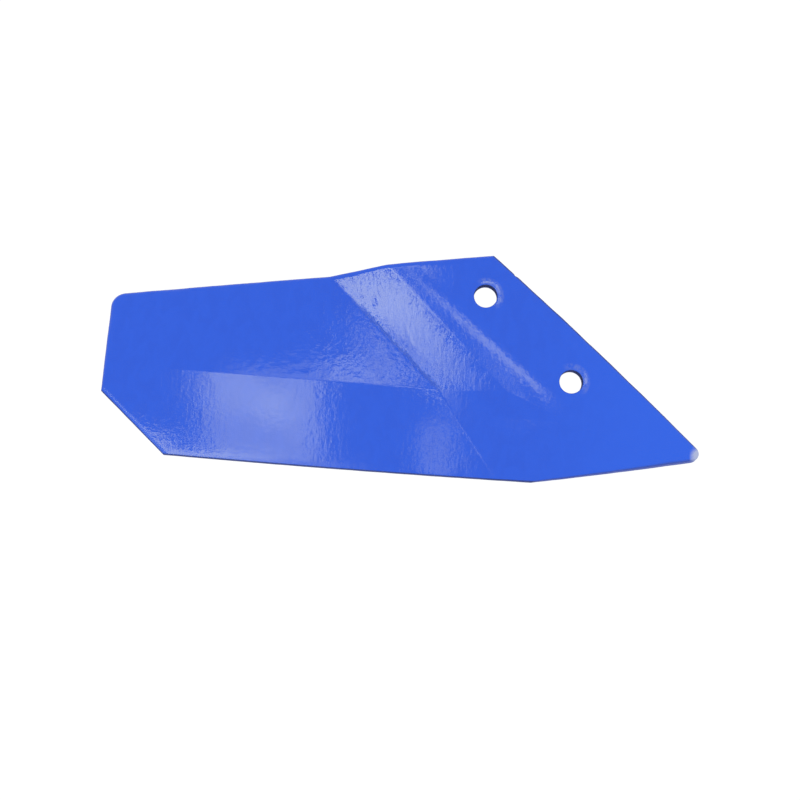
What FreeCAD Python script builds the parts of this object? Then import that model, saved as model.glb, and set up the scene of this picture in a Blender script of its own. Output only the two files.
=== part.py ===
import FreeCAD, Part
import math
import os
import Sketcher

# Plough share with a cranked, two-hole nose, pressed and bevelled from one plate.
# Drafting axes, in millimetres: X runs along the cutting edge from the heel to the nose,
# Y goes from the cutting edge back to the upper edge, and Z is up from the flat underside.
# The finished share is then moved so that its origin is the middle of its footprint.

DRIVING_SIZES = (
    # Plate and bevel
    ("plate_thickness", 8.0),
    ("edge_thickness", 3.0),
    ("bevel_width", 50.0),
    # Heel end, on the left
    ("heel_height", 93.1),
    ("heel_rake", 1.4),
    ("heel_chamfer_rise", 34.0),
    ("heel_chamfer_end", 41.7),
    ("heel_corner_radius", 9.0),
    # Back edge, a little bowed
    ("back_bow", 0.45),
    ("shoulder_x", 223.0),
    ("shoulder_y", 130.1),
    # Cutting edge, nose and landside, each a little bowed
    ("toe_x", 253.6),
    ("toe_y", 1.1),
    ("cutting_bow", 0.7),
    ("nose_x", 352.7),
    ("nose_y", 21.4),
    ("nose_radius", 4.2),
    ("nose_bow", 0.4),
    ("landside_bow", 1.2),
    # Crank: the crease, the ramp up to its ridge and the gentle roll on to the tilted seat
    ("crease_x", 196.5),
    ("crease_angle", 42.86),
    ("bevel_crease_angle", 53.4),
    ("ridge_run", 40.0),
    ("seat_run_back", 53.7),
    ("seat_run_front", 81.1),
    ("seat_tilt", 6.2),
    ("seat_hinge", 6.0),
    ("roll_slope", 4.5),
    ("front_roll_slope", 0.5),
    ("under_roll", 6.0),
    ("under_shift", 0.8),
    # Rounded rim of the full plate
    ("rim_radius", 2.0),
    # Nose bevel
    ("nose_bevel_start", 36.0),
    ("nose_bevel_run", 59.0),
    ("nose_bevel_angle", 16.2),
    # Bolt holes, set out on the seat
    ("hole_diameter", 13.5),
    ("hole_x", 219.8),
    ("hole_back_gap", 25.2),
    ("hole_pitch", 70.0),
    ("hole_line_angle", 41.4),
    ("dish_width", 3.8),
    ("dish_depth", 0.6),
    # Stock beyond the outline, trimmed away
    ("stock_back", 150.0),
    ("stock_front", 2.0),
    ("stock_side", 10.0),
    ("stock_far", 440.0),
)

document = FreeCAD.newDocument("PloughShare")
sheet = document.addObject("Spreadsheet::Sheet", "Sizes")
for row, (alias, millimetres) in enumerate(DRIVING_SIZES, start=1):
    sheet.set(f"A{row}", alias)
    sheet.set(f"B{row}", str(millimetres))
    sheet.setAlias(f"B{row}", alias)
document.recompute()

body = document.addObject("PartDesign::Body", "plough_share")
body.Label = "plough_share"


def value(expression):
    """Work out an expression on the sheet as a plain number."""
    result = sheet.evalExpression(expression)
    return float(getattr(result, "Value", result))


def size(alias):
    """Name one size of the sheet inside an expression."""
    return f"Sizes.{alias}"


def coordinate(expression):
    """Number for a coordinate, where None means that the point lies on the axis."""
    return 0.0 if expression is None else value(expression)


def new_sketch(name, role, offset):
    """Attach a sketch to one of the body's own origin planes, moved by a placement."""
    sketch = body.newObject("Sketcher::SketchObject", name)
    plane = next(item for item in body.Origin.OriginFeatures if item.Role == role)
    sketch.AttachmentSupport = [(plane, "")]
    sketch.MapMode = "FlatFace"
    sketch.setExpression("AttachmentOffset", offset)
    document.recompute()
    return sketch


def name_size(sketch, index, name, expression):
    """Name a constraint and bind its size to the sheet."""
    sketch.renameConstraint(index, name)
    sketch.setExpression(f"Constraints.{name}", expression)


def pin_point(sketch, geometry, end, name, across, up):
    """Hold one end of an edge by its two distances from the sketch's origin."""
    for direction, axis, expression in (("X", -2, across), ("Y", -1, up)):
        if expression is None:
            sketch.addConstraint(Sketcher.Constraint("PointOnObject", geometry, end, axis))
            continue
        index = sketch.addConstraint(Sketcher.Constraint(
            f"Distance{direction}", -1, 1, geometry, end, value(expression)))
        name_size(sketch, index, f"{name}_{direction}", expression)


def clockwise_centre(start, end, radius):
    """Centre of the short arc that turns clockwise from start to end."""
    chord = end - start
    inward = FreeCAD.Vector(chord.y, -chord.x, 0).normalize()
    return (start + end) * 0.5 + inward * math.sqrt(radius ** 2 - (chord.Length / 2) ** 2)


def draw_edge(sketch, start, end, radius, clockwise):
    """Draw a line, or an arc where a radius is given, and say which end is which."""
    if radius is None:
        return sketch.addGeometry(Part.LineSegment(start, end)), 1, 2
    reach = value(radius)
    first, last = (end, start) if clockwise else (start, end)
    centre = clockwise_centre(last, first, reach)
    begin = math.atan2(first.y - centre.y, first.x - centre.x)
    finish = math.atan2(last.y - centre.y, last.x - centre.x)
    circle = Part.Circle(centre, FreeCAD.Vector(0, 0, 1), reach)
    index = sketch.addGeometry(Part.ArcOfCircle(circle, begin, finish))
    return (index, 2, 1) if clockwise else (index, 1, 2)


def draw_loop(sketch, corners):
    """Draw a closed loop from its corners.

    A corner is (name, across, up), with a radius after it where the edge that leaves it
    is an arc that turns clockwise, and then "left" where it turns the other way.
    """
    spots = [FreeCAD.Vector(coordinate(corner[1]), coordinate(corner[2]), 0)
             for corner in corners]
    edges = []
    for number, corner in enumerate(corners):
        radius = corner[3] if len(corner) > 3 else None
        follower = spots[(number + 1) % len(spots)]
        edges.append(draw_edge(sketch, spots[number], follower, radius, len(corner) < 5))
    for number, corner in enumerate(corners):
        index, start, end = edges[number]
        follower = edges[(number + 1) % len(edges)]
        sketch.addConstraint(
            Sketcher.Constraint("Coincident", index, end, follower[0], follower[1]))
        pin_point(sketch, index, start, *corner[:3])
        if len(corner) > 3:
            bound = sketch.addConstraint(
                Sketcher.Constraint("Radius", index, value(corner[3])))
            name_size(sketch, bound, f"{corner[0]}_radius", corner[3])


# The crank's form at a distance y from the cutting edge, as expressions on the sheet
THICKNESS = size("plate_thickness")
FOLD = size("bevel_width")
BACK = size("stock_back")
FRONT = f"(0 - {size('stock_front')})"
HEEL = f"(0 - {size('stock_side')})"
NOSE_START = size("nose_bevel_start")
BEVEL_SLOPE = f"(({THICKNESS} - {size('edge_thickness')}) / {FOLD})"


def seat_lift(y):
    """Height of the seat above the blade."""
    return f"(tan({size('seat_tilt')}) * ({y} + {size('seat_hinge')}))"


def seat_top(y):
    """Height of the seat's upper side."""
    return f"({THICKNESS} + {seat_lift(y)})"


def crease_x(y):
    """Where the crease lies on the full plate."""
    return f"({size('crease_x')} + ({FOLD} - {y}) / tan({size('crease_angle')}))"


def bevel_crease_x(y):
    """Where the crease lies on the bevel, which it crosses more steeply."""
    return f"({size('crease_x')} + ({FOLD} - {y}) / tan({size('bevel_crease_angle')}))"


def seat_run(y):
    """Distance from the crease to the place where the roll meets the seat."""
    share = f"(({y} - {FRONT}) / ({BACK} - {FRONT}))"
    return (f"({size('seat_run_front')} - {share}"
            f" * ({size('seat_run_front')} - {size('seat_run_back')}))")


def roll_drop(y, slope):
    """How far the ridge lies below the seat, for a roll that starts at a slope."""
    return f"(({seat_run(y)} - {size('ridge_run')}) * tan({slope} / 2))"


def bevelled(y):
    """Height of the blade's upper side on the bevel."""
    return f"({THICKNESS} - {BEVEL_SLOPE} * ({FOLD} - {y}))"


def crank_corners(y, slope):
    """Corners of the crank's section, round from the crease."""
    drop = roll_drop(y, slope)
    ridge_x = f"({crease_x(y)} + {size('ridge_run')})"
    seat_x = f"({crease_x(y)} + {seat_run(y)})"
    shift = size("under_shift")
    heel_roll = size("under_roll")
    rise = f"({seat_lift(y)} - {drop})"
    ramp = f"atan({rise} / {size('ridge_run')})"
    reach = f"({seat_run(y)} - {size('ridge_run')} - {shift})"
    return [
        ("crease", crease_x(y), THICKNESS),
        ("ridge", ridge_x, f"{THICKNESS} + {rise}",
         f"({seat_run(y)} - {size('ridge_run')}) / sin({slope})"),
        ("seat", seat_x, seat_top(y)),
        ("under_seat", seat_x, seat_lift(y),
         f"(pow({reach}; 2) + pow({drop}; 2)) / 2 / {drop}", "left"),
        ("under_ridge", f"{ridge_x} + {shift}", rise),
        ("under_ramp_foot", f"{crease_x(y)} + {shift} + {heel_roll} * cos({ramp})",
         f"{heel_roll} * sin({ramp})", f"{heel_roll} / tan({ramp} / 2)"),
        ("under_blade", f"{crease_x(y)} + {shift} - {heel_roll}", None),
    ]


def section(name, y, corners):
    """Draw one upright section at a distance y from the cutting edge."""
    offset = f"placement(vector(0; 0; 0 - {y}); rotation(vector(0; 0; 1); 0))"
    sketch = new_sketch(name, "XZ_Plane", offset)
    draw_loop(sketch, corners)
    return sketch


def lofted(kind, name, profiles):
    """Rule a body's feature through its sections."""
    loft = body.newObject(f"PartDesign::{kind}", name)
    loft.Profile = profiles[0]
    loft.Sections = profiles[1:]
    loft.Ruled = True
    document.recompute()
    return loft


def slanted(name, profile, direction, length):
    """Pad a sketch in a direction of its own."""
    pad = body.newObject("PartDesign::Pad", name)
    pad.Profile = profile
    pad.UseCustomVector = True
    pad.AlongSketchNormal = False
    for axis, expression in zip("xyz", direction):
        pad.setExpression(f"Direction.{axis}", expression)
    pad.setExpression("Length", length)
    document.recompute()
    return pad


# Blade: a flat slab that ends along the crease
blade_section = section("BladeSection", FRONT, [
    ("heel_low", HEEL, None),
    ("heel_top", HEEL, THICKNESS),
    ("crease_top", crease_x(FRONT), THICKNESS),
    ("bend_low", f"{crease_x(FRONT)} + {size('under_shift')} - {size('under_roll')}", None),
])
along = size("crease_angle")
blade = slanted("Blade", blade_section, (f"0 - cos({along})", f"sin({along})", "0"),
                f"({BACK} - {FRONT}) / sin({along})")

# Crank: the ramp, its ridge and the roll, ruled through three sections
crank = lofted("AdditiveLoft", "Crank", [
    section("BackSection", BACK, crank_corners(BACK, size("roll_slope"))),
    section("FoldSection", FOLD, crank_corners(FOLD, size("roll_slope"))),
    section("FrontSection", FRONT, crank_corners(FRONT, size("front_roll_slope"))),
])

# Seat: a flat slab in the tilted plane of the seat
SEAT_PLANE = (f"placement(vector(0; 0 - {size('seat_hinge')}; {THICKNESS});"
              f" rotation(vector(1; 0; 0); {size('seat_tilt')}))")


def up_seat(y):
    """Distance up the tilted seat for a distance y from the cutting edge."""
    return f"(({y} + {size('seat_hinge')}) / cos({size('seat_tilt')}))"


seat_outline = new_sketch("SeatOutline", "XY_Plane", SEAT_PLANE)
draw_loop(seat_outline, [
    ("roll_front", f"{crease_x(FRONT)} + {seat_run(FRONT)}", up_seat(FRONT)),
    ("far_front", size("stock_far"), up_seat(FRONT)),
    ("far_back", size("stock_far"), up_seat(BACK)),
    ("roll_back", f"{crease_x(BACK)} + {seat_run(BACK)}", up_seat(BACK)),
])
seat = slanted("Seat", seat_outline, ("0", "0", "0 - 1"), THICKNESS)


def bow_radius(start, end, bow):
    """Radius of an arc whose middle stands off its chord by the bow."""
    square = (f"(pow({start[0] or 0} - {end[0] or 0}; 2)"
              f" + pow({start[1] or 0} - {end[1] or 0}; 2))")
    return f"({square} / 8 / {bow} + {bow} / 2)"


# Outline: everything of the plate outside it is trimmed away
heel_back = (None, size("heel_height"))
heel_point = (size("heel_chamfer_end"), None)
toe = (size("toe_x"), size("toe_y"))
nose = (size("nose_x"), size("nose_y"))
shoulder = (size("shoulder_x"), size("shoulder_y"))
margin = size("stock_side")
heel_side = f"{HEEL} - {margin} - ({BACK} - {FRONT}) / tan({size('crease_angle')})"
outline = new_sketch("Outline", "XY_Plane",
                     "placement(vector(0; 0; 0); rotation(vector(0; 0; 1); 0))")
draw_loop(outline, [
    ("heel_back", *heel_back, bow_radius(heel_back, shoulder, size("back_bow"))),
    ("shoulder", *shoulder, bow_radius(shoulder, nose, size("landside_bow"))),
    ("nose", *nose, bow_radius(nose, toe, size("nose_bow"))),
    ("toe", *toe, bow_radius(toe, heel_point, size("cutting_bow"))),
    ("heel_point", *heel_point),
    ("heel_foot", size("heel_rake"), size("heel_chamfer_rise")),
])
draw_loop(outline, [
    ("stock_heel_front", heel_side, f"{FRONT} - {margin}"),
    ("stock_heel_back", heel_side, f"{BACK} + {margin}"),
    ("stock_far_back", f"{size('stock_far')} + {margin}", f"{BACK} + {margin}"),
    ("stock_far_front", f"{size('stock_far')} + {margin}", f"{FRONT} - {margin}"),
])
trimmed = body.newObject("PartDesign::Pocket", "Trimmed")
trimmed.Profile = outline
trimmed.Type = "ThroughAll"
trimmed.Reversed = True
document.recompute()


def edge_names(feature, wanted):
    """Names of a feature's edges that pass a test."""
    return [f"Edge{number}" for number, edge in enumerate(feature.Shape.Edges, start=1)
            if wanted(edge)]


def rounded(name, feature, edges, radius):
    """Round some edges of a feature."""
    fillet = body.newObject("PartDesign::Fillet", name)
    fillet.Base = (feature, edges)
    fillet.setExpression("Radius", radius)
    document.recompute()
    return fillet


def corner_edges(feature, across, up):
    """The upright edge that stands at a corner of the outline."""
    corner = FreeCAD.Vector(coordinate(across), coordinate(up), 0)

    def stands_there(edge):
        ends = [vertex.Point for vertex in edge.Vertexes]
        return all(math.hypot(end.x - corner.x, end.y - corner.y) < 0.01 for end in ends)

    return edge_names(feature, stands_there)


def faces_beside(feature, edge):
    """Upward parts of the outward directions of the two faces that meet at an edge."""
    middle = edge.valueAt((edge.FirstParameter + edge.LastParameter) / 2)
    faces = feature.Shape.ancestorsOfType(edge, Part.Face)
    return sorted(face.normalAt(*face.Surface.parameter(middle)).z for face in faces)


def full_rim(feature):
    """Upper edges of the heel, the back and the landside, where the plate is full."""
    level = 0.1

    def wanted(edge):
        middle = edge.valueAt((edge.FirstParameter + edge.LastParameter) / 2)
        lower, upper = faces_beside(feature, edge)
        return (abs(lower) < level < 1 - level < upper
                and middle.y > value(size("heel_chamfer_rise")))

    return edge_names(feature, wanted)


# Heel corner, then the rim of the full plate
heel_corner = rounded("HeelCorner", trimmed, corner_edges(trimmed, None, size("heel_height")),
                      size("heel_corner_radius"))
rim = rounded("Rim", heel_corner, full_rim(heel_corner), size("rim_radius"))


def bevel_corners(foot, ridge, far):
    """Corners of a section of what the bevel takes away, above its three facets."""
    height = f"(2 * {seat_top(BACK)})"
    return [
        ("heel", HEEL, foot[1]),
        ("foot", *foot),
        ("ridge", *ridge),
        ("far", *far),
        ("far_above", far[0], height),
        ("heel_above", HEEL, height),
    ]


def along_slope(start, run, rise):
    """Point further along, by a run and the rise that goes with it."""
    return f"({start[0]} + {run})", f"({start[1]} + {rise})"


# Bevel: three facets, on the blade, the ramp and the nose
toe_top = (size("toe_x"), f"({bevelled(FRONT)} + {seat_lift(FRONT)})")
nose_line_x = f"({crease_x(NOSE_START)} + {size('nose_bevel_run')})"
nose_reach = f"(({NOSE_START} - {FRONT}) / tan({size('nose_bevel_angle')}))"
nose_line_end = (f"({nose_line_x} + {nose_reach})", seat_top(FRONT))
nose_line_start = (nose_line_x, seat_top(NOSE_START))
facet_run = f"({nose_line_end[0]} - {toe_top[0]})"
facet_rise = f"({nose_line_end[1]} - {toe_top[1]})"
fold_foot = (crease_x(FOLD), THICKNESS)
ramp_rise = f"({seat_lift(FOLD)} - {roll_drop(FOLD, size('roll_slope'))})"
fold_ridge = along_slope(fold_foot, size("ridge_run"), ramp_rise)
fold_far = along_slope(fold_ridge, facet_run, f"{facet_run} * {ramp_rise} / {size('ridge_run')}")
bevel = lofted("SubtractiveLoft", "Bevel", [
    section("BevelFold", FOLD, bevel_corners(fold_foot, fold_ridge, fold_far)),
    section("BevelNose", NOSE_START, bevel_corners(
        (bevel_crease_x(NOSE_START), bevelled(NOSE_START)), nose_line_start,
        along_slope(nose_line_start, facet_run, facet_rise))),
    section("BevelFront", FRONT, bevel_corners(
        (bevel_crease_x(FRONT), bevelled(FRONT)), toe_top, nose_line_end)),
])

def end_slope(start, end, bow):
    """Angle between a bowed edge and the line of the cutting edge, at the nose."""
    run, rise = f"({start[0]} - {end[0]})", f"({start[1]} - {end[1]})"
    chord = f"sqrt(pow({run}; 2) + pow({rise}; 2))"
    return f"(abs(atan({rise} / {run})) + 2 * atan(2 * {bow} / {chord}))"


def from_nose(distance, angle):
    """Point at a distance from the sharp nose, towards an angle above the heel's side."""
    return (f"{nose[0]} - {distance} * cos({angle})", f"{nose[1]} + {distance} * sin({angle})")


# Nose tip: rounded by an arc that meets the landside and the nose edge
landside_slope = end_slope(shoulder, nose, size("landside_bow"))
nose_slope = end_slope(toe, nose, size("nose_bow"))
tip_reach = f"({size('nose_radius')} / tan(({landside_slope} + {nose_slope}) / 2))"
tip_outline = new_sketch("NoseTipOutline", "XY_Plane",
                         "placement(vector(0; 0; 0); rotation(vector(0; 0; 1); 0))")
draw_loop(tip_outline, [
    ("tip_landside", *from_nose(tip_reach, landside_slope)),
    ("tip_outside", *from_nose(f"(0 - {margin})", f"({landside_slope} - {nose_slope}) / 2")),
    ("tip_nose", *from_nose(tip_reach, f"(-1 * {nose_slope})"), size("nose_radius"), "left"),
])
nose_tip = body.newObject("PartDesign::Pocket", "NoseTip")
nose_tip.Profile = tip_outline
nose_tip.Type = "ThroughAll"
nose_tip.Midplane = True
document.recompute()

# Bolt holes, square to the seat and dished at their upper rims
holes = new_sketch("Holes", "XY_Plane", SEAT_PLANE)
hole_line = size("hole_line_angle")
hole_up = f"({up_seat(shoulder[1])} - {size('hole_back_gap')})"
hole_centres = (
    ("back_hole", size("hole_x"), hole_up),
    ("nose_hole", f"{size('hole_x')} + {size('hole_pitch')} * cos({hole_line})",
     f"{hole_up} - {size('hole_pitch')} * sin({hole_line})"),
)
for name, across, up in hole_centres:
    centre = FreeCAD.Vector(value(across), value(up), 0)
    radius = value(f"{size('hole_diameter')} / 2")
    circle = Part.Circle(centre, FreeCAD.Vector(0, 0, 1), radius)
    index = holes.addGeometry(circle)
    bound = holes.addConstraint(Sketcher.Constraint("Radius", index, radius))
    name_size(holes, bound, f"{name}_radius", f"{size('hole_diameter')} / 2")
    pin_point(holes, index, 3, name, across, up)
drilled = body.newObject("PartDesign::Pocket", "Drilled")
drilled.Profile = holes
drilled.Type = "ThroughAll"
document.recompute()


def hole_rims(feature):
    """The upper rims of the bolt holes."""
    seat = holes.getGlobalPlacement()
    radius = value(f"{size('hole_diameter')} / 2")

    def wanted(edge):
        return (not edge.Degenerated and isinstance(edge.Curve, Part.Circle)
                and abs(edge.Curve.Radius - radius) < 0.001
                and abs(seat.inverse().multVec(edge.Curve.Center).z) < 0.001)

    return edge_names(feature, wanted)


dished = body.newObject("PartDesign::Chamfer", "Dished")
dished.Base = (drilled, hole_rims(drilled))
dished.ChamferType = "Two distances"
dished.setExpression("Size", size("dish_width"))
dished.setExpression("Size2", size("dish_depth"))
document.recompute()

# The finished share, with the middle of its footprint at the origin
box = body.Shape.optimalBoundingBox(False)
body.Placement = FreeCAD.Placement(
    FreeCAD.Vector(-box.Center.x, -box.Center.y, -box.ZMin), FreeCAD.Rotation())
document.recompute()

for item in document.Objects:
    if "Invalid" in item.State or "Error" in item.State:
        raise RuntimeError(f"{item.Name} failed: {item.State}")
if body.Shape.isNull() or not body.Shape.isValid() or len(body.Shape.Solids) != 1:
    raise RuntimeError("the share is not one valid solid")
least_cut = 1.0
cuts = ((seat, trimmed), (rim, bevel), (bevel, nose_tip), (nose_tip, drilled))
if any(before.Shape.Volume - after.Shape.Volume < least_cut for before, after in cuts):
    raise RuntimeError("a cut took nothing away")

os.makedirs("parts", exist_ok=True)
body.Shape.exportStep(f"parts/{body.Label}.step")
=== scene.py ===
"""Dress the cranked plough share: pressed form, soft edges, glossy paint and studio light."""
import logging
import math
from dataclasses import dataclass, field
from enum import Enum
from typing import Union

import bpy
import numpy as np
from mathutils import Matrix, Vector, geometry, kdtree, noise


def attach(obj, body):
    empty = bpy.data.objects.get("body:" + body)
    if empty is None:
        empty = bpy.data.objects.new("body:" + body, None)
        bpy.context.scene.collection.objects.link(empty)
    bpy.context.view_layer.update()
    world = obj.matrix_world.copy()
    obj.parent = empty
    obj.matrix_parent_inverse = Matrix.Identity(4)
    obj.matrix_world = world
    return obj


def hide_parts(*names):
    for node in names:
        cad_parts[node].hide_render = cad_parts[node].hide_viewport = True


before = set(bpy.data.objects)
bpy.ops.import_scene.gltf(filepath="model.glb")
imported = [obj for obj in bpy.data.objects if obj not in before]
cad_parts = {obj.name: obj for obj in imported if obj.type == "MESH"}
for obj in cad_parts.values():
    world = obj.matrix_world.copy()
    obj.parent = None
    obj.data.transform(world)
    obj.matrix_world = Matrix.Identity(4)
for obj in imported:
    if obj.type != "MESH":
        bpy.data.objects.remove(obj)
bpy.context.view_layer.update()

LOG = logging.getLogger("plough_share")
MM_PER_M = 1000.0
WHITE = (1.0, 1.0, 1.0, 1.0)
Array = np.ndarray
Link = Union["Wire", float, int]


# Shader maths

class Wire:
    """One output socket of a shader node, with arithmetic that adds Math nodes."""

    def __init__(self, paint: "PaintTree", socket: bpy.types.NodeSocket) -> None:
        """Hold a socket and the tree that it belongs to."""
        self.paint = paint
        self.socket = socket

    def _math(self, operation: str, *values: Link) -> "Wire":
        """Add a Math node.

        Args:
            operation: the Math node's operation.
            values: its inputs, in order.

        Returns:
            The node's output.
        """
        inputs = dict(enumerate(values))
        return self.paint.node("ShaderNodeMath", {"operation": operation}, inputs)

    def __add__(self, other: Link) -> "Wire":
        """Add."""
        return self._math("ADD", self, other)

    def __radd__(self, other: Link) -> "Wire":
        """Add, with the wire on the right."""
        return self._math("ADD", other, self)

    def __sub__(self, other: Link) -> "Wire":
        """Subtract."""
        return self._math("SUBTRACT", self, other)

    def __rsub__(self, other: Link) -> "Wire":
        """Subtract the wire from something."""
        return self._math("SUBTRACT", other, self)

    def __mul__(self, other: Link) -> "Wire":
        """Multiply."""
        return self._math("MULTIPLY", self, other)

    def __rmul__(self, other: Link) -> "Wire":
        """Multiply, with the wire on the right."""
        return self._math("MULTIPLY", other, self)

    def __truediv__(self, other: Link) -> "Wire":
        """Divide."""
        return self._math("DIVIDE", self, other)

    def absolute(self) -> "Wire":
        """Drop the sign."""
        return self._math("ABSOLUTE", self)

    def smaller(self, other: Link) -> "Wire":
        """The smaller of two values."""
        return self._math("MINIMUM", self, other)

    def larger(self, other: Link) -> "Wire":
        """The larger of two values."""
        return self._math("MAXIMUM", self, other)

    def rise(self, low: float, high: float) -> "Wire":
        """Ease from 0 at one value to 1 at another.

        Args:
            low: the value that gives 0.
            high: the value that gives 1, which may be the lower of the two.

        Returns:
            The eased value.
        """
        turned = high < low
        ends = (high, low) if turned else (low, high)
        eased = self.paint.node("ShaderNodeMapRange", {"interpolation_type": "SMOOTHSTEP"},
                                {"Value": self, "From Min": ends[0], "From Max": ends[1]})
        return 1.0 - eased if turned else eased

    def band(self, start: float, end: float, soft: float) -> "Wire":
        """One between two values, and nothing outside them.

        Args:
            start: where the band starts.
            end: where the band ends.
            soft: half the width of its soft sides.

        Returns:
            The band's strength.
        """
        return self.rise(start - soft, start + soft) * self.rise(end + soft, end - soft)


class Ray(Enum):
    """The kinds of ray that a material can tell apart."""

    CAMERA = "Is Camera Ray"
    GLOSSY = "Is Glossy Ray"
    TRANSMISSION = "Is Transmission Ray"


class PaintTree:
    """A node tree, with one method that makes any node in it."""

    def __init__(self, tree: bpy.types.NodeTree) -> None:
        """Empty a tree and hold it."""
        self.tree = tree
        tree.nodes.clear()

    def node(self, kind: str, settings: dict | None = None, inputs: dict | None = None,
             output: Union[int, str] = 0) -> Wire:
        """Add a node.

        Args:
            kind: the node's type.
            settings: its own settings, such as a Math node's operation.
            inputs: the values or wires of its sockets, by name or number.
            output: the output to hand back.

        Returns:
            The wire of that output.
        """
        made = self.tree.nodes.new(kind)
        for name, setting in (settings or {}).items():
            setattr(made, name, setting)
        for key, value in (inputs or {}).items():
            socket = made.inputs[key]
            if isinstance(value, Wire):
                self.tree.links.new(value.socket, socket)
            else:
                socket.default_value = value
        return Wire(self, made.outputs[output] if len(made.outputs) else None)

    def ray(self, kind: Ray) -> Wire:
        """One for a kind of ray, and nothing for the others."""
        return self.node("ShaderNodeLightPath", output=kind.value)

    def mix_colour(self, amount: Link, first: Union[Wire, tuple],
                   second: Union[Wire, tuple]) -> Wire:
        """Mix two colours.

        Args:
            amount: how much of the second colour.
            first: the first colour.
            second: the second colour.

        Returns:
            The mixed colour.
        """
        return self.node("ShaderNodeMix", {"data_type": "RGBA", "blend_type": "MIX"},
                         {0: amount, 6: first, 7: second}, 2)

    def stretched(self, point: Wire, turn: float, scale: tuple[float, float, float]) -> Wire:
        """Turn a point about the upright axis and stretch it.

        Args:
            point: the point, in millimetres.
            turn: the turn, in degrees.
            scale: how many times larger each coordinate gets.

        Returns:
            The new point.
        """
        turned = self.node("ShaderNodeVectorRotate", {"rotation_type": "Z_AXIS"},
                           {"Vector": point, "Angle": math.radians(turn)})
        return self.node("ShaderNodeVectorMath", {"operation": "MULTIPLY"},
                         {0: turned, 1: scale})

    def grain(self, point: Wire, detail: float = 2.0, rough: float = 0.5,
              bend: float = 0.0) -> Wire:
        """Noise about a mean of one half, one unit in size.

        Args:
            point: where to read it.
            detail: how many finer layers it has.
            rough: how strong those are.
            bend: how much it is warped.

        Returns:
            The noise.
        """
        return self.node("ShaderNodeTexNoise", {"noise_dimensions": "3D"},
                         {"Vector": point, "Scale": 1.0, "Detail": detail,
                          "Roughness": rough, "Distortion": bend})


# Camera

@dataclass(frozen=True)
class PhotoView:
    """Where the photograph was taken from, in metres in the share's frame."""

    place: Vector = field(default_factory=lambda: Vector((0.01542, -0.19768, 0.68570)))
    aim: Vector = field(default_factory=lambda: Vector((0.001026, -0.023002, 0.008)))
    turn: float = 4.712
    focal: float = 54.58
    film: float = 36.0

    def make_camera(self) -> bpy.types.Object:
        """Make the scene's camera.

        Returns:
            The camera.
        """
        data = bpy.data.cameras.new("photo_view")
        data.lens = self.focal
        data.sensor_width = self.film
        data.clip_start = 0.01
        camera = bpy.data.objects.new("photo_view", data)
        camera.location = self.place
        camera.rotation_euler = (self.aim - self.place).to_track_quat("-Z", "Y").to_euler()
        bpy.context.scene.collection.objects.link(camera)
        bpy.context.scene.camera = camera
        return camera


# The share's form

def eased(value: Array, low: float, high: float) -> Array:
    """Ease from 0 at one value to 1 at another.

    Args:
        value: the values.
        low: the value that gives 0.
        high: the value that gives 1.

    Returns:
        The eased values.
    """
    part = np.clip((value - low) / (high - low), 0.0, 1.0)
    return part * part * (3.0 - 2.0 * part)


def inward_of(loop: Array) -> Array:
    """Unit directions that point into a clockwise loop, one at each of its points."""
    along = np.roll(loop, -1, axis=0) - np.roll(loop, 1, axis=0)
    along /= np.hypot(*along.T)[:, None]
    return np.stack([along[:, 1], -along[:, 0]], 1)


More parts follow.
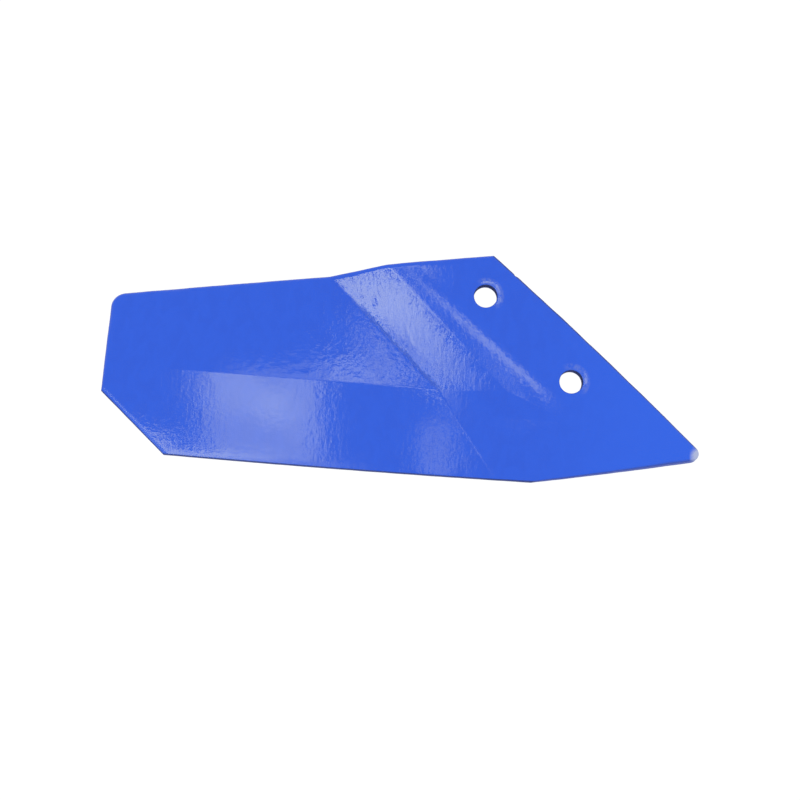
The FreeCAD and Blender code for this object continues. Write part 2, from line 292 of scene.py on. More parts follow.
@dataclass(frozen=True)
class Crank:
    """The plate's pressed form, in millimetres along its own drafting axes.

    X runs along the cutting edge from the heel, Y back from the cutting edge.
    """

    thickness: float = 8.0
    edge: float = 3.0
    fold: float = 50.0
    crease: float = 196.5
    crease_angle: float = 42.86
    bevel_crease_angle: float = 53.4
    ridge: float = 40.0
    seat_run_back: float = 53.7
    seat_run_front: float = 81.1
    tilt: float = 6.2
    hinge: float = 6.0
    roll_slope: float = 4.5
    front_roll_slope: float = 0.5
    under_roll: float = 6.0
    under_shift: float = 0.8
    nose_start: float = 36.0
    nose_run: float = 59.0
    nose_angle: float = 16.2
    toe: float = 253.6
    back: float = 150.0
    front: float = -2.0

    def lift(self, y: Array) -> Array:
        """Height of the seat above the blade."""
        return math.tan(math.radians(self.tilt)) * (y + self.hinge)

    def crease_x(self, y: Array) -> Array:
        """Where the crease lies on the full plate."""
        return self.crease + (self.fold - y) / math.tan(math.radians(self.crease_angle))

    def bevel_crease_x(self, y: Array) -> Array:
        """Where the crease lies on the bevel."""
        slant = math.tan(math.radians(self.bevel_crease_angle))
        return self.crease + (self.fold - y) / slant

    def bevelled(self, y: Array) -> Array:
        """Height of the bevel."""
        return self.thickness - (self.thickness - self.edge) / self.fold * (self.fold - y)

    def seat_run(self, y: Array) -> Array:
        """Distance from the crease to where the roll meets the seat."""
        share = (y - self.front) / (self.back - self.front)
        return self.seat_run_front - share * (self.seat_run_front - self.seat_run_back)

    def _drop(self, y: float, slope: float) -> float:
        """How far the ridge lies below the seat, for a roll that starts at a slope."""
        return (self.seat_run(y) - self.ridge) * math.tan(math.radians(slope) / 2.0)

    def _between(self, y: Array, stations: tuple[tuple[float, float], ...]) -> Array:
        """Read a value that runs straight between stations along Y."""
        return np.interp(y, [s[0] for s in stations], [s[1] for s in stations])

    def _pressed_plate(self, x: Array, y: Array, shift: float) -> Array:
        """Height of the ramp, the roll and the seat above the blade.

        Args:
            x: places along the cutting edge.
            y: places back from it.
            shift: how far the crease and the ridge are moved along X.

        Returns:
            The heights, without the plate's thickness.
        """
        over = x - self.crease_x(y)
        lift = self.lift(y)
        drop = self._between(y, (
            (self.front, self._drop(self.front, self.front_roll_slope)),
            (self.fold, self._drop(self.fold, self.roll_slope)),
            (self.back, self._drop(self.back, self.roll_slope))))
        run = self.seat_run(y)
        ramp = (over - shift) / self.ridge * (lift - drop)
        left = np.clip((run - over) / (run - self.ridge - shift), 0.0, 1.0)
        roll = lift - drop * left ** 2
        return np.where(over < self.ridge + shift, np.maximum(ramp, 0.0), roll)

    def _bevel(self, x: Array, y: Array) -> Array:
        """Height of the bevel's three facets, ruled between the fold, nose and front."""
        seat = self.thickness + self.lift(self.front)
        nose_line = self.crease_x(self.nose_start) + self.nose_run
        reach = (self.nose_start - self.front) / math.tan(math.radians(self.nose_angle))
        toe_top = self.bevelled(self.front) + self.lift(self.front)
        rise = (seat - toe_top) / (nose_line + reach - self.toe)
        ramp_rise = (self.lift(self.fold) - self._drop(self.fold, self.roll_slope))
        stations = (self.front, self.nose_start, self.fold)

        def ruled(*values: float) -> Array:
            """Run straight between the three sections."""
            return self._between(y, tuple(zip(stations, values)))

        low = self.bevelled(y)
        foot = ruled(self.bevel_crease_x(self.front), self.bevel_crease_x(self.nose_start),
                     self.crease)
        head = ruled(self.toe, nose_line, self.crease + self.ridge)
        head_z = ruled(toe_top, self.thickness + self.lift(self.nose_start),
                       self.thickness + ramp_rise)
        slope = ruled(rise, rise, ramp_rise / self.ridge)
        ramp = low + (x - foot) / (head - foot) * (head_z - low)
        beyond = head_z + (x - head) * slope
        return np.where(x < foot, low, np.where(x < head, ramp, beyond))

    def upper(self, x: Array, y: Array) -> Array:
        """Height of the upper side."""
        full = self.thickness + self._pressed_plate(x, y, 0.0)
        return np.where(y < self.fold, np.minimum(full, self._bevel(x, y)), full)

    def under(self, x: Array, y: Array) -> Array:
        """Height of the underside, whose bend at the crease is a gentle one."""
        over = x - self.crease_x(y) - self.under_shift
        height = self._pressed_plate(x, y, self.under_shift)
        bend_end = self.crease_x(y) + self.under_shift + self.under_roll
        rise = self._pressed_plate(bend_end, y, self.under_shift)
        bend = (over + self.under_roll) / (2.0 * self.under_roll)
        return np.where((bend > 0.0) & (bend < 1.0), rise * bend ** 2, height)


@dataclass(frozen=True)
class Corner:
    """A corner of the outline, with the bow of the edge that leaves it."""

    x: float
    y: float
    radius: float = 0.0
    bow: float = 0.0


@dataclass(frozen=True)
class Hole:
    """A bolt hole, by its centre on the seat's upper side."""

    x: float
    y: float
    z: float


@dataclass
class Share:
    """The plough share's own mesh, in millimetres until it is written out."""

    crank: Crank = field(default_factory=Crank)
    footprint: tuple[float, float] = (174.0690, 64.9210)
    spacing: float = 0.8
    under_spacing: float = 1.7
    full_round: float = 3.0
    thin_round: float = 0.5
    under_round: float = 0.4
    hole_radius: float = 6.75
    dish_width: float = 4.8
    dish_depth: float = 0.42
    dish_rings: tuple[float, ...] = (0.12, 0.4, 0.9, 1.6, 2.4, 3.2, 4.1, 5.2)
    rim_round: float = 0.35
    hole_steps: int = 72
    wall_rows: tuple[float, ...] = (0.03, 0.25, 0.5, 0.75, 1.0)
    corner_share: float = 0.29
    nick: tuple[float, float] = (236.6, 119.4)
    nick_width: float = 0.9
    nick_depth: float = 0.45
    corners: tuple[Corner, ...] = (
        Corner(0.0, 93.1, 9.0, 0.45), Corner(223.0, 130.1, 0.8, 1.2),
        Corner(352.7, 21.4, 4.2, 0.4),
        Corner(253.6, 1.1, 0.0, 0.7), Corner(41.7, 0.0), Corner(1.4, 34.0))
    holes: tuple[Hole, ...] = (Hole(219.8, 105.04670, 20.06353),
                               Hole(272.307774, 59.02559, 15.06404))

    def placed(self, spot: Union[Corner, Hole]) -> tuple[float, float]:
        """Where a corner or a hole lies from the share's middle, in millimetres."""
        return spot.x - self.footprint[0], spot.y - self.footprint[1]

    # Outline

    def _rounded_corners(self) -> list[Array]:
        """Points of the outline, run by run, clockwise from the heel's back corner."""
        count = len(self.corners)
        spots = [np.array((corner.x, corner.y)) for corner in self.corners]
        arcs = []
        for number, corner in enumerate(self.corners):
            before = spots[number - 1] - spots[number]
            after = spots[(number + 1) % count] - spots[number]
            before, after = before / np.hypot(*before), after / np.hypot(*after)
            if not corner.radius:
                arcs.append(spots[number][None, :])
                continue
            half = math.acos(float(before @ after)) / 2.0
            middle = (before + after) / np.hypot(*(before + after))
            centre = spots[number] + middle * corner.radius / math.sin(half)
            ends = [spots[number] + way * corner.radius / math.tan(half) - centre
                    for way in (before, after)]
            first, last = (math.atan2(end[1], end[0]) for end in ends)
            turn = (last - first + math.pi) % (2.0 * math.pi) - math.pi
            angle = first + turn * np.linspace(0.0, 1.0, 24)
            arcs.append(centre + corner.radius * np.stack([np.cos(angle), np.sin(angle)], 1))
        runs = []
        for number, corner in enumerate(self.corners):
            start, end = arcs[number][-1], arcs[(number + 1) % count][0]
            part = np.linspace(0.0, 1.0, 200)[:, None]
            way = end - start
            outward = np.array((-way[1], way[0])) / np.hypot(*way)
            bowed = outward * 4.0 * corner.bow * part * (1.0 - part)
            runs.extend([arcs[number], start + way * part + bowed])
        return runs

    def outline(self, spacing: float) -> Array:
        """The outline as even steps, corners kept.

        Args:
            spacing: the length of a step.

        Returns:
            The points, clockwise.
        """
        steps = []
        for run in self._rounded_corners():
            lengths = np.hypot(*np.diff(run, axis=0).T)
            total = np.concatenate([[0.0], np.cumsum(lengths)])
            if total[-1] < 1e-6:
                continue
            number = max(2, int(round(total[-1] / spacing)))
            at = np.linspace(0.0, total[-1], number + 1)[:-1]
            steps.append(np.stack([np.interp(at, total, run[:, k]) for k in (0, 1)], 1))
        return np.concatenate(steps)

    def _worn_outline(self, points: Array) -> Array:
        """Give the cut edges their small waves and the nick near the back hole."""
        wave = np.array([noise.noise(Vector((x * 0.11, y * 0.11, 3.0))) * 0.16
                         + noise.noise(Vector((x * 0.45, y * 0.45, 7.0))) * 0.07
                         for x, y in points])
        inset = 0.04 + 0.6 * wave
        nick = np.hypot(points[:, 0] - self.nick[0], points[:, 1] - self.nick[1])
        nick = self.nick_depth * np.exp(-(nick / self.nick_width) ** 2)
        inset = inset.clip(0.01, None) + nick
        return points + inward_of(points) * inset[:, None]

    # Surfaces

    def _rim(self, hole: Hole, radius: float, down: float) -> Array:
        """A ring round a hole's axis, as points in space.

        Args:
            hole: the hole.
            radius: the ring's radius.
            down: how far below the seat it lies.

        Returns:
            The ring's points.
        """
        tilt = math.radians(self.crank.tilt)
        angle = np.linspace(0.0, 2.0 * math.pi, self.hole_steps, endpoint=False)
        lean = np.array((0.0, -math.sin(tilt), math.cos(tilt)))
        back = np.array((0.0, math.cos(tilt), math.sin(tilt)))
        side = np.array((1.0, 0.0, 0.0))
        centre = np.array((hole.x, hole.y, hole.z)) - lean * down
        return (centre + radius * np.cos(angle)[:, None] * side
                + radius * np.sin(angle)[:, None] * back)

    def _from_axis(self, hole: Hole, x: Array, y: Array, z: Array) -> Array:
        """How far points lie from a hole's axis."""
        tilt = math.radians(self.crank.tilt)
        lean = np.array((0.0, -math.sin(tilt), math.cos(tilt)))
        out = np.stack([x - hole.x, y - hole.y, z - hole.z], 1)
        return np.linalg.norm(out - (out @ lean)[:, None] * lean, axis=1)

    def _pressed(self, x: Array, y: Array) -> Array:
        """Unevenness that pressing and painting left on the upper side."""
        crank = self.crank
        crease = np.array([crank.crease_x(v) if v > crank.fold else crank.bevel_crease_x(v)
                           for v in y])
        over = x - crease
        spots = list(zip(x, y))

        def waves(wide: float, tall: float, seed: float) -> Array:
            """Smooth noise with its own number of waves per millimetre each way."""
            return np.array([noise.noise(Vector((a * wide, b * tall, seed))) for a, b in spots])

        near = np.exp(-(over / 26.0) ** 2)
        ramp = eased(over, 0.0, 3.0) * (1.0 - eased(over, 44.0, 60.0)) * eased(y, 46.0, 52.0)
        blade = (1.0 - eased(over, -4.0, 0.0)) * eased(x, 40.0, 110.0)
        above = blade * eased(y, 49.0, 52.0) * (1.0 - eased(y, 56.0, 80.0)) * eased(x, 80.0, 130.0)
        height = 0.07 * waves(0.018, 0.022, 1.0)
        height = height + waves(0.09, 0.055, 4.0) * (0.010 + 0.020 * near + 0.012 * blade)
        height = height + waves(0.16, 0.20, 14.0) * 0.045 * above
        height = height + waves(0.42, 0.10, 9.0) * (0.003 + 0.016 * ramp + 0.006 * near)
        ragged = 0.6 + 0.9 * waves(0.5, 0.5, 17.0)
        groove = np.exp(-(over / 0.8) ** 2) * eased(y, 44.0, 54.0)
        return height - 0.07 * groove * np.clip(ragged, 0.2, 1.6)

    def _dents(self, x: Array, y: Array) -> Array:
        """Small tool marks on the ramp, each a short upright tick."""
        marks = ((147.0, 103.5, 0.8, 2.4, 0.12), (155.4, 99.5, 0.9, 3.4, 0.18),
                 (149.5, 96.5, 0.8, 2.0, 0.09), (176.0, 82.5, 0.9, 3.6, 0.15),
                 (179.0, 76.0, 0.8, 3.2, 0.16), (173.5, 79.0, 0.7, 2.0, 0.09))
        depth = np.zeros_like(x)
        for at_x, at_y, wide, tall, deep in marks:
            lean = (x - at_x) + 0.25 * (y - at_y)
            depth += deep * np.exp(-(lean / wide) ** 2 - ((y - at_y) / tall) ** 2)
        return -depth

    # Mesh

    def _grid(self, spacing: float) -> Array:
        """Grid points over the whole footprint, every other row shifted."""
        rows = np.arange(-1.0, 134.0, spacing * 0.9)
        across = np.arange(-1.0, 356.0, spacing)
        return np.concatenate([
            np.stack([across + (spacing / 2.0 if k % 2 else 0.0), np.full_like(across, y)], 1)
            for k, y in enumerate(rows)])

    @staticmethod
    def _tree(points: Array) -> kdtree.KDTree:
        """A search tree of plane points."""
        tree = kdtree.KDTree(len(points))
        for number, point in enumerate(points):
            tree.insert((point[0], point[1], 0.0), number)
        tree.balance()
        return tree

    @staticmethod
    def _nearest(tree: kdtree.KDTree, points: Array) -> tuple[Array, Array]:
        """Distance to a tree's nearest point, and which it is, for each point."""
        found = [tree.find((point[0], point[1], 0.0)) for point in points]
        return np.array([f[2] for f in found]), np.array([f[1] for f in found])

    @staticmethod
    def _inside(points: Array, loop: Array) -> Array:
        """Which points lie inside a closed loop."""
        inside = np.zeros(len(points), bool)
        x, y = points[:, 0], points[:, 1]
        for a, b in zip(loop, np.roll(loop, -1, axis=0)):
            if a[1] == b[1]:
                continue
            crossed = (a[1] > y) != (b[1] > y)
            inside ^= crossed & (x < (b[0] - a[0]) * (y - a[1]) / (b[1] - a[1]) + a[0])
        return inside

    @staticmethod
    def _triangles(points: Array, loops: list[Array], lines: list[Array]) -> Array:
        """Triangles over plane points, inside the first loop and outside the others.

        Args:
            points: the points.
            loops: rows of point numbers, each a closed loop.
            lines: rows of point numbers, each an open line to keep.

        Returns:
            Rows of three point numbers.
        """
        edges = [(int(a), int(b)) for loop in loops for a, b in zip(loop, np.roll(loop, -1))]
        edges += [(int(a), int(b)) for line in lines for a, b in zip(line, line[1:])]
        made = geometry.delaunay_2d_cdt([Vector(p) for p in points], edges, [], 1, 1e-6, True)
        spots, faces, source = made[0], made[2], made[3]
        back = [s[0] if s else -1 for s in source]
        faces = np.array([[back[i] for i in face] for face in faces if len(face) == 3])
        faces = faces[(faces >= 0).all(axis=1)]
        LOG.info("triangulated %d points into %d faces", len(spots), len(faces))
        return faces

    def _plane_points(self, rim: Array, rings: list[Array], lines: list[Array],
                      spacing: float, clear: float) -> tuple[Array, list[Array], list[Array]]:
        """Set out the points of one side.

        Args:
            rim: the outline.
            rings: rings of points round the holes, the innermost of each hole first.
            lines: feature lines.
            spacing: the grid's step.
            clear: how near the outline the grid may come.

        Returns:
            The points, the numbers of the loops and the numbers of the lines.
        """
        dense = self._tree(self.outline(0.25))
        parts, loops, kept = [rim], [np.arange(len(rim))], []
        count = len(rim)
        for ring in rings:
            parts.append(ring)
            loops.append(np.arange(count, count + len(ring)))
            count += len(ring)
        for line in lines:
            parts.append(line)
            kept.append(np.arange(count, count + len(line)))
            count += len(line)
        fixed = np.concatenate(parts)
        grid = self._grid(spacing)
        grid = grid[self._inside(grid, rim)]
        grid = grid[self._nearest(dense, grid)[0] > clear]
        grid = grid[self._nearest(self._tree(fixed), grid)[0] > spacing * 0.55]
        for hole in self.holes:
            reach = self.hole_radius + 0.1
            away = np.hypot(grid[:, 0] - hole.x, grid[:, 1] - hole.y)
            grid = grid[away > reach + spacing * 0.5]
        return np.concatenate([fixed, grid]), loops, kept

    def _inset_rings(self, rim: Array, radius: Array) -> list[Array]:
        """Points in rows beside the outline, where the edge turns over."""
        inward = inward_of(rim)
        dense = self._tree(rim)
        rows = []
        for part in (0.06, 0.18, 0.36, 0.6, 0.85, 1.1):
            row = rim + inward * (radius * part)[:, None]
            away = self._nearest(dense, row)[0]
            rows.append(row[(away > radius * part * 0.94) & (radius * part > 0.05)])
        return rows

    def _feature_lines(self) -> list[Array]:
        """The crease and the fold, as rows of points on the upper side."""
        crank = self.crank
        up = np.arange(crank.fold, 110.5, 0.7)
        crease = np.stack([[crank.crease_x(v) for v in up], up], 1)
        down = np.arange(3.0, crank.fold - 0.3, 0.7)
        bevel = np.stack([[crank.bevel_crease_x(v) for v in down], down], 1)
        across = np.arange(5.0, crank.crease - 0.4, 0.8)
        fold = np.stack([across, np.full_like(across, crank.fold)], 1)
        beside = [crease + (shift, 0.0) for shift in (-1.5, -0.75, 0.75, 1.5)]
        return [crease, bevel, fold, *beside]

    def _upper(self, rim: Array, radius: Array) -> tuple[Array, Array, list[Array]]:
        """Make the upper side.

        Args:
            rim: the outline.
            radius: the edge's rounding at each of its points.

        Returns:
            The points in space, the triangles and the loops of the holes.
        """
        inner = [self._rim(hole, self.hole_radius, 0.0)[:, :2] for hole in self.holes]
        outer = [self._rim(hole, self.hole_radius + out, 0.0)[:, :2]
                 for hole in self.holes for out in self.dish_rings]
        inset = self._inset_rings(rim, radius)
        lines = self._feature_lines()
        points, loops, kept = self._plane_points(
            rim, inner, lines + inset + outer, self.spacing, self.full_round * 1.25)
        faces = self._triangles(points, loops, kept[:3])
        faces = faces[self._inside(points[faces].mean(axis=1), rim)]
        for ring in inner:
            faces = faces[~self._inside(points[faces].mean(axis=1), ring)]
        x, y = points[:, 0], points[:, 1]
        z = self.crank.upper(x, y)
        for hole in self.holes:
            away = self._from_axis(hole, x, y, z) - self.hole_radius
            dish = self.dish_depth * np.clip(1.0 - away / self.dish_width, 0.0, 1.0) ** 2
            lip = np.clip(1.0 - away / self.rim_round, 0.0, 1.0)
            dish = dish + self.rim_round * (1.0 - np.sqrt(1.0 - lip ** 2)) * (away < 2.0)
            z = z - np.where(away < 8.0, dish, 0.0)
        z = z + self._pressed(x, y) + self._dents(x, y)
        away, which = self._nearest(self._tree(rim), points)
        reach = radius[which]
        part = np.clip(1.0 - away / reach, 0.0, 1.0)
        z = z - reach * (1.0 - np.sqrt(np.clip(1.0 - part ** 2, 0.0, 1.0)))
        return np.stack([x, y, z], 1), faces, loops[1:]

    def _lower(self, rim: Array) -> tuple[Array, Array, list[Array]]:
        """Make the underside.

        Args:
            rim: the outline.

        Returns:
            The points in space, the triangles and the loops of the holes.
        """
        rings = []
        for hole in self.holes:
            rings.append(self._rim(hole, self.hole_radius + 0.25, self.crank.thickness)[:, :2])
        points, loops, _ = self._plane_points(rim, rings, [], self.under_spacing, 0.9)
        faces = self._triangles(points, loops, [])
        faces = faces[self._inside(points[faces].mean(axis=1), rim)]
        for ring in rings:
            faces = faces[~self._inside(points[faces].mean(axis=1), ring)]
        x, y = points[:, 0], points[:, 1]
        z = self.crank.under(x, y)
        slow = np.array([noise.noise(Vector((a * 0.03, b * 0.03, 21.0))) for a, b in zip(x, y)])
        z = z + 0.05 * (slow + 0.6).clip(0.3, None)
        return np.stack([x, y, z], 1), faces[:, ::-1], loops[1:]

    def build(self) -> bpy.types.Object:
        """Build the share's mesh.

        Returns:
            The object, in metres in the share's frame.
        """
        rim = self._worn_outline(self.outline(self.spacing))
        deep = self.crank.upper(*rim.T) - self.crank.under(*rim.T)
        full = np.clip((deep - self.crank.edge) / (self.crank.thickness - self.crank.edge), 0, 1)
        uneven = np.array([noise.noise(Vector((x * 0.07, y * 0.07, 31.0))) for x, y in rim])
        radius = self.thin_round + (self.full_round - self.thin_round) * full
        radius = radius * (1.0 + 0.18 * uneven)
        top, top_faces, top_holes = self._upper(rim, radius)
        low, low_faces, low_holes = self._lower(rim)
        points, faces = [top, low], [top_faces, low_faces + len(top)]
        count = len(top) + len(low)

        def wall(first: Array, last: Array, rows: list[Array], turned: bool) -> None:
            """Join two loops of the same length by rows of points between them."""
            nonlocal count
            numbers = [first]
            for row in rows:
                points.append(row)
                numbers.append(np.arange(count, count + len(row)))
                count += len(row)
            numbers.append(last)
            for a, b in zip(numbers, numbers[1:]):
                c, d = np.roll(a, -1), np.roll(b, -1)
                quads = np.stack([a, b, d, c] if turned else [a, c, d, b], 1)
                faces.append(quads[:, [0, 1, 2]])
                faces.append(quads[:, [0, 2, 3]])

        ring = np.arange(len(rim))
        small = self.under_round
        inward = inward_of(rim)
        head, foot = top[ring], low[ring].copy()
        low[ring, :2] += inward * small
        rows = []
        for part in self.wall_rows:
            row = head * (1.0 - part) + (foot + (0.0, 0.0, small)) * part
            if part < 1.0:
                bulge = np.array([noise.noise(Vector((p[0] * 0.25, p[1] * 0.25, p[2] * 0.5)))
                                  for p in row])
                row[:, :2] += inward * (0.04 + 0.06 * bulge)[:, None]
            rows.append(row)
        turn = foot + (0.0, 0.0, small * self.corner_share)
        turn[:, :2] += inward * small * self.corner_share
        rows.append(turn)
        wall(ring, ring + len(top), rows, False)
        for hole, upper_loop, lower_loop in zip(self.holes, top_holes, low_holes):
            start = self.dish_depth + self.rim_round
            depths = [start] + list(np.linspace(start + 0.6, self.crank.thickness - 0.35, 7))
            rows = [self._rim(hole, self.hole_radius, down) for down in depths]
            wall(upper_loop, lower_loop + len(top), rows, True)
        return self._write(np.concatenate(points), np.concatenate(faces))

    def _write(self, points: Array, faces: Array) -> bpy.types.Object:
        """Write points and triangles out as an object."""
        shift = np.array((*self.footprint, 0.0))
        data = bpy.data.meshes.new("share_plate")
        data.from_pydata(((points - shift) / MM_PER_M).tolist(), [], faces.tolist())
        data.validate()
        data.polygons.foreach_set("use_smooth", [True] * len(data.polygons))
        data.update()
        plate = bpy.data.objects.new("share_plate", data)
        bpy.context.scene.collection.objects.link(plate)
        LOG.info("share_plate: %d points, %d faces", len(points), len(faces))
        return plate


# Finishes

@dataclass(frozen=True)
class Enamel:
    """Glossy blue enamel, sprayed over a rough pressing, with shade and highlights painted into
    its colour.
    """

    blue: tuple = (0.004, 0.096, 0.765, 1.0)
    deep: tuple = (0.003, 0.090, 0.735, 1.0)
    # Darker blue, used as painted shade on steep faces and along the crease.
    shaded: tuple = (0.001, 0.042, 0.370, 1.0)
    # Painted shade on the bolt holes' walls.
    bore_shade: tuple = (0.003, 0.022, 0.170, 1.0)
    steel: tuple = (0.44, 0.50, 0.74, 1.0)
    bright: tuple = (0.005, 0.112, 0.835, 1.0)
    # Pale blue painted highlight on the dish round each hole.
    glint_blue: tuple = (0.19, 0.26, 0.64, 1.0)
    # Painted shade: a dark outline along the cut edges.
    edge_shade_blue: tuple = (0.001, 0.020, 0.170, 1.0)
    gloss: float = 0.055
    worn_tip: tuple[float, float, float] = (174.8, -42.9, 11.0)

    @staticmethod
    def _inside_edge(x: Wire, y: Wire, share: Share, number: int) -> Wire:
        """How far a place lies inside one edge of the outline.

        Args:
            x: the place along the share, in millimetres from its middle.
            y: the place across it.
            share: the share.
            number: which corner the edge leaves, clockwise.

        Returns:
            The distance in millimetres.
        """
        bow = share.corners[number].bow
        start, end = (share.placed(share.corners[k]) for k in (number, number + 1))
        length = math.hypot(end[0] - start[0], end[1] - start[1])
        way = ((end[0] - start[0]) / length, (end[1] - start[1]) / length)
        over_x, over_y = x - start[0], y - start[1]
        along = (over_x * way[0] + over_y * way[1]) / length
        return over_x * way[1] - over_y * way[0] + along * (1.0 - along) * (4.0 * bow)

    def make(self, share: Share) -> bpy.types.Material:
        """Make the material.

        Args:
            share: the share, whose holes, edges and crease the paint follows.

        Returns:
            The material.
        """
        material = bpy.data.materials.new("share_enamel")
        material.use_nodes = True
        paint = PaintTree(material.node_tree)
        point = paint.node("ShaderNodeTexCoord", output="Object")
        place = paint.node("ShaderNodeVectorMath", {"operation": "SCALE"},
                            {0: point, "Scale": MM_PER_M})
        parts = {name: paint.node("ShaderNodeSeparateXYZ", {}, {0: place}, name)
                 for name in "XYZ"}
        x, y = parts["X"], parts["Y"]
        streaks = paint.grain(paint.stretched(place, -5.0, (0.55, 0.13, 0.4)), 3.0, 0.6, 0.4)
        peel = paint.grain(paint.stretched(place, 0.0, (0.45, 0.45, 0.45)), 2.0, 0.5)
        blotch = paint.grain(paint.stretched(place, 8.0, (0.16, 0.10, 0.16)), 3.0, 0.55, 0.6)
        # Noise for the worn tip and for breaking up the painted highlight round the holes.
        wear_and_glint_grain = paint.grain(paint.stretched(place, 0.0, (0.5, 0.5, 0.5)), 4.0, 0.6)
        tip = paint.node("ShaderNodeVectorMath", {"operation": "DISTANCE"},
                         {0: place, 1: self.worn_tip}, "Value")
        bare = (tip + wear_and_glint_grain * 3.0).rise(9.4, 5.2)
        crank = share.crank
        crease_x = (crank.crease - share.footprint[0]
                    - (y + share.footprint[1] - crank.fold)
                    * (1.0 / math.tan(math.radians(crank.crease_angle))))
        over = x - crease_x
        on_ramp = over.band(0.0, 52.0, 5.0) * y.rise(-20.0, -10.0)
        by_crease = over.band(-60.0, 4.0, 16.0) * y.rise(-30.0, 0.0)
        # Painted shade: a ragged darker band along the crease, which also gets rougher.
        crease_shade = ((over + streaks * 7.0 + peel * 5.0).band(5.2, 8.4, 0.7)
                * y.rise(-17.0, -12.0) * y.rise(40.0, 22.0))
        # Painted shade: faces that turn steeply away from up, such as walls and edge roundings,
        # are mixed towards the darker blue and made rougher.
        steep = paint.node("ShaderNodeSeparateXYZ", {}, {
            0: paint.node("ShaderNodeNewGeometry", output="True Normal")}, "Z")
        side = steep.absolute().rise(0.84, 0.40)
        shaded_bore, hole_glint = side * 0.0, side * 0.0
        # Painted shade on each bore's wall and a painted highlight on one side of its dish.
        for spot in (share.placed(hole) for hole in share.holes):
            away = paint.node("ShaderNodeVectorMath", {"operation": "DISTANCE"}, {
                0: paint.node("ShaderNodeCombineXYZ", {}, {0: x, 1: y}),
                1: (*spot, 0.0)}, "Value")
            shaded_bore = shaded_bore + away.rise(7.6, 7.2)
            # Painted highlight: the side of the dish that faces the light.
            facing = ((x - spot[0]) + (y - spot[1]) * 0.8).rise(-1.0, 7.0)
            hole_glint = hole_glint + away.band(7.2, 10.4, 0.9) * facing
        hole_glint = hole_glint * (wear_and_glint_grain + peel * 0.5).rise(0.50, 0.95)
        # Painted shade: a dark line just inside the landside, the cutting edge and the heel
        # chamfer, which also get rougher.
        landside, cutting, chamfer = (self._inside_edge(x, y, share, number)
                                      for number in (1, 3, 4))
        rim = (landside * 0.62).smaller(cutting * 1.5).smaller(chamfer * 1.5)
        line = (rim + peel * 0.3).rise(1.25, 0.65)
        colour = paint.mix_colour(blotch.rise(0.35, 0.65), self.blue, self.deep)
        colour = paint.mix_colour(x.rise(60.0, 150.0) * 0.8, colour, self.bright)
        # Painted shade along the crease.
        colour = paint.mix_colour(crease_shade * 0.35, colour, self.shaded)
        # Painted highlight on the hole dishes.
        colour = paint.mix_colour(hole_glint * 0.45, colour, self.glint_blue)
        # Painted shade on steep faces.
        colour = paint.mix_colour(side * 0.9, colour, self.shaded)
        # Painted shade: the dark line along the edges.
        colour = paint.mix_colour(line * 0.8, colour, self.edge_shade_blue)
        # Painted shade on the steep walls inside the bores.
        colour = paint.mix_colour(shaded_bore * side, colour, self.bore_shade)
        colour = paint.mix_colour(bare, colour, self.steel)
        height = (streaks * (0.034 + 0.086 * on_ramp) + peel * (0.032 + 0.045 * by_crease)
                  + blotch * (0.03 + 0.06 * by_crease))
        bump = paint.node("ShaderNodeBump", {},
                          {"Strength": 1.0, "Distance": 0.001, "Height": height})
        rough = (self.gloss + 0.03 * blotch + 0.04 * on_ramp * streaks + 0.25 * bare
                 + (0.50 * side).larger(0.55 * line).larger(0.45 * chamfer.rise(3.2, 1.2))
                 + 0.40 * crease_shade + 0.30 * shaded_bore * side)
        shader = paint.node("ShaderNodeBsdfPrincipled", {}, {
            "Base Color": colour, "Roughness": rough, "Metallic": 0.35 * bare,
            "IOR": 1.5, "Normal": bump})
        paint.node("ShaderNodeOutputMaterial", {}, {"Surface": shader})
        return material


@dataclass(frozen=True)
class Patch:
    """A bright patch of the light card, in millimetres from the share's middle.

    Its sides lie along axes that are turned from the camera's right and far directions.
    """

    turn: float
    across: tuple[float, float]
    along: tuple[float, float]
    glow: float
    soft_across: float = 10.0
    soft_along: float = 10.0
    nearer_than: float = 400.0

    def strength(self, right: Wire, far: Wire) -> Wire:
        """How strongly the patch shines at a place on the card.

        Args:
            right: millimetres to the camera's right.
            far: millimetres away from the camera.

        Returns:
            The patch's radiance there.
        """
        cosine, sine = math.cos(math.radians(self.turn)), math.sin(math.radians(self.turn))
        over = right * cosine + far * sine
        up = far * cosine - right * sine
        shape = over.band(*self.across, self.soft_across) * up.band(*self.along, self.soft_along)
        limit = far.rise(self.nearer_than + 8.0, self.nearer_than - 8.0)
        return shape * limit * self.glow


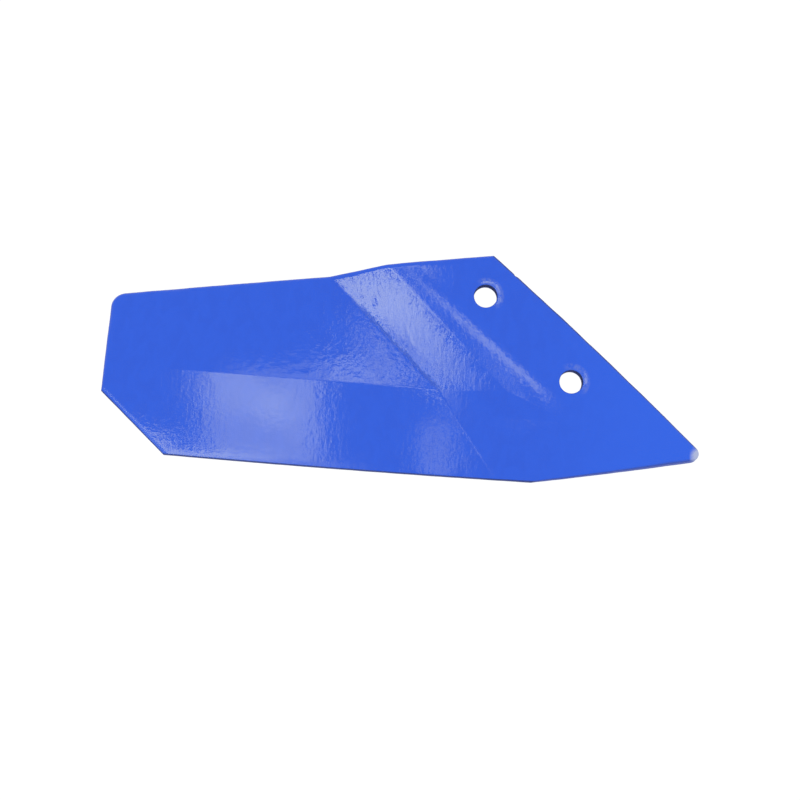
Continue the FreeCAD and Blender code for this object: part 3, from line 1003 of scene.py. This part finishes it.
@dataclass(frozen=True)
class Studio:
    """The plain pale floor and the soft light."""

    view: PhotoView = field(default_factory=PhotoView)
    ambient: float = 0.95
    floor_reach: float = 3.0
    floor_white: float = 0.93
    floor_glow: float = 1.08
    floor_grey: tuple[float, float, float, float] = (0.82, 0.82, 0.82, 1.0)
    card_height: float = 0.5
    card_reach: float = 0.65
    brightest: float = 10.0
    tint: tuple[float, float, float, float] = (1.0, 1.0, 0.45, 1.0)
    patches: tuple[Patch, ...] = (
        Patch(0.0, (-204.0, -86.0), (-62.0, 47.0), 3.1, 9.0, 6.0),
        Patch(0.0, (-198.0, -150.0), (-10.0, 47.0), 1.3, 8.0, 6.0),
        Patch(0.0, (-149.0, -119.0), (-17.0, 14.0), 2.6, 9.0, 9.0),
        Patch(0.0, (-116.0, -86.0), (-40.0, 47.0), 0.9, 9.0, 9.0),
        Patch(0.0, (-222.0, -208.0), (0.0, 47.0), 1.1, 6.0, 8.0),
        Patch(0.0, (-170.0, -24.0), (70.0, 137.0), 1.6, 10.0, 5.0),
        Patch(0.0, (-70.0, -14.0), (100.0, 142.0), 2.4, 12.0, 10.0),
        Patch(0.0, (13.0, 43.0), (-90.0, -20.0), 2.0, 7.0, 14.0),
        Patch(16.2, (-452.0, -288.0), (-72.0, 140.0), 7.2, 14.0, 14.0, -30.0),
        Patch(16.2, (-288.0, -238.0), (-72.0, 140.0), 5.8, 14.0, 14.0, -30.0),
        Patch(16.2, (-238.0, -185.0), (-72.0, 140.0), 4.7, 14.0, 14.0, -50.0),
        Patch(16.2, (-185.0, -140.0), (-72.0, 140.0), 3.3, 14.0, 14.0, -52.0),
        Patch(16.2, (-140.0, -92.0), (-72.0, 140.0), 1.7, 14.0, 14.0, -56.0),
        Patch(16.2, (-92.0, -62.0), (-60.0, 140.0), 0.8, 14.0, 14.0, -60.0),
        Patch(36.7, (72.0, 87.0), (80.0, 176.0), 4.0, 5.0, 10.0),
        Patch(53.13, (28.0, 54.0), (-98.0, 62.0), 4.2, 7.0, 10.0),
    )

    def make_floor(self) -> bpy.types.Object:
        """Make the floor.

        Returns:
            The floor.
        """
        data = bpy.data.meshes.new("studio_floor")
        reach = self.floor_reach
        data.from_pydata([(-reach, -reach, 0.0), (reach, -reach, 0.0), (reach, reach, 0.0),
                          (-reach, reach, 0.0)], [], [(0, 1, 2, 3)])
        floor = bpy.data.objects.new("studio_floor", data)
        bpy.context.scene.collection.objects.link(floor)
        material = bpy.data.materials.new("pale_floor")
        material.use_nodes = True
        paint = PaintTree(material.node_tree)
        seen, mirrored, through = (paint.ray(kind) for kind in Ray)
        share = seen.larger(mirrored).larger(through) * self.floor_white
        plain = paint.node("ShaderNodeBsdfDiffuse", {}, {"Color": self.floor_grey})
        white = paint.node("ShaderNodeEmission", {},
                           {"Color": WHITE, "Strength": self.floor_glow})
        both = paint.node("ShaderNodeMixShader", {}, {0: share, 1: plain, 2: white})
        paint.node("ShaderNodeOutputMaterial", {}, {"Surface": both})
        data.materials.append(material)
        return floor

    def make_sky(self) -> bpy.types.World:
        """Make the even light all round.

        Returns:
            The world.
        """
        world = bpy.data.worlds.new("studio_ceiling")
        world.use_nodes = True
        bpy.context.scene.world = world
        paint = PaintTree(world.node_tree)
        seen = paint.ray(Ray.CAMERA)
        light = self.ambient + seen * (1.0 - self.ambient)
        sky = paint.node("ShaderNodeBackground", {},
                         {"Color": WHITE, "Strength": light})
        paint.node("ShaderNodeOutputWorld", {}, {"Surface": sky})
        return world

    def make_card(self) -> bpy.types.Object:
        """Make the card above the share whose bright patches show in its gloss.

        Returns:
            The card, which only reflections show.
        """
        reach, height = self.card_reach, self.card_height
        data = bpy.data.meshes.new("light_card")
        data.from_pydata([(-reach, -reach, height), (-reach, reach, height),
                          (reach, reach, height), (reach, -reach, height)], [], [(0, 1, 2, 3)])
        card = bpy.data.objects.new("light_card", data)
        card.rotation_euler.z = math.radians(self.view.turn)
        for ray in ("camera", "diffuse", "transmission", "volume_scatter", "shadow"):
            setattr(card, f"visible_{ray}", False)
        bpy.context.scene.collection.objects.link(card)
        material = bpy.data.materials.new("light_card")
        material.use_nodes = True
        paint = PaintTree(material.node_tree)
        point = paint.node("ShaderNodeTexCoord", output="Object")
        right = paint.node("ShaderNodeSeparateXYZ", {}, {0: point}, "X") * MM_PER_M
        far = paint.node("ShaderNodeSeparateXYZ", {}, {0: point}, "Y") * MM_PER_M
        glow: Link = 0.0
        for patch in self.patches:
            glow = patch.strength(right, far) + glow
        clear = paint.node("ShaderNodeBsdfTransparent")
        lamp = paint.node("ShaderNodeEmission", {},
                          {"Color": self.tint, "Strength": self.brightest})
        both = paint.node("ShaderNodeMixShader", {},
                          {0: glow / self.brightest, 1: clear, 2: lamp})
        paint.node("ShaderNodeOutputMaterial", {}, {"Surface": both})
        data.materials.append(material)
        return card


def main() -> None:
    """Build the share, its finish and the studio, and say what was made."""
    logging.basicConfig(level=logging.INFO, format="%(name)s: %(message)s")
    scene = bpy.context.scene
    scene.view_settings.view_transform = "Standard"
    view = PhotoView()
    view.make_camera()
    studio = Studio(view)
    studio.make_floor()
    studio.make_sky()
    studio.make_card()
    share = Share()
    plate = share.build()
    plate.data.materials.append(Enamel().make(share))
    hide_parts("plough_share")
    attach(plate, "root")
    LOG.info("share_plate stands for plough_share")


if __name__ == "__main__":
    main()
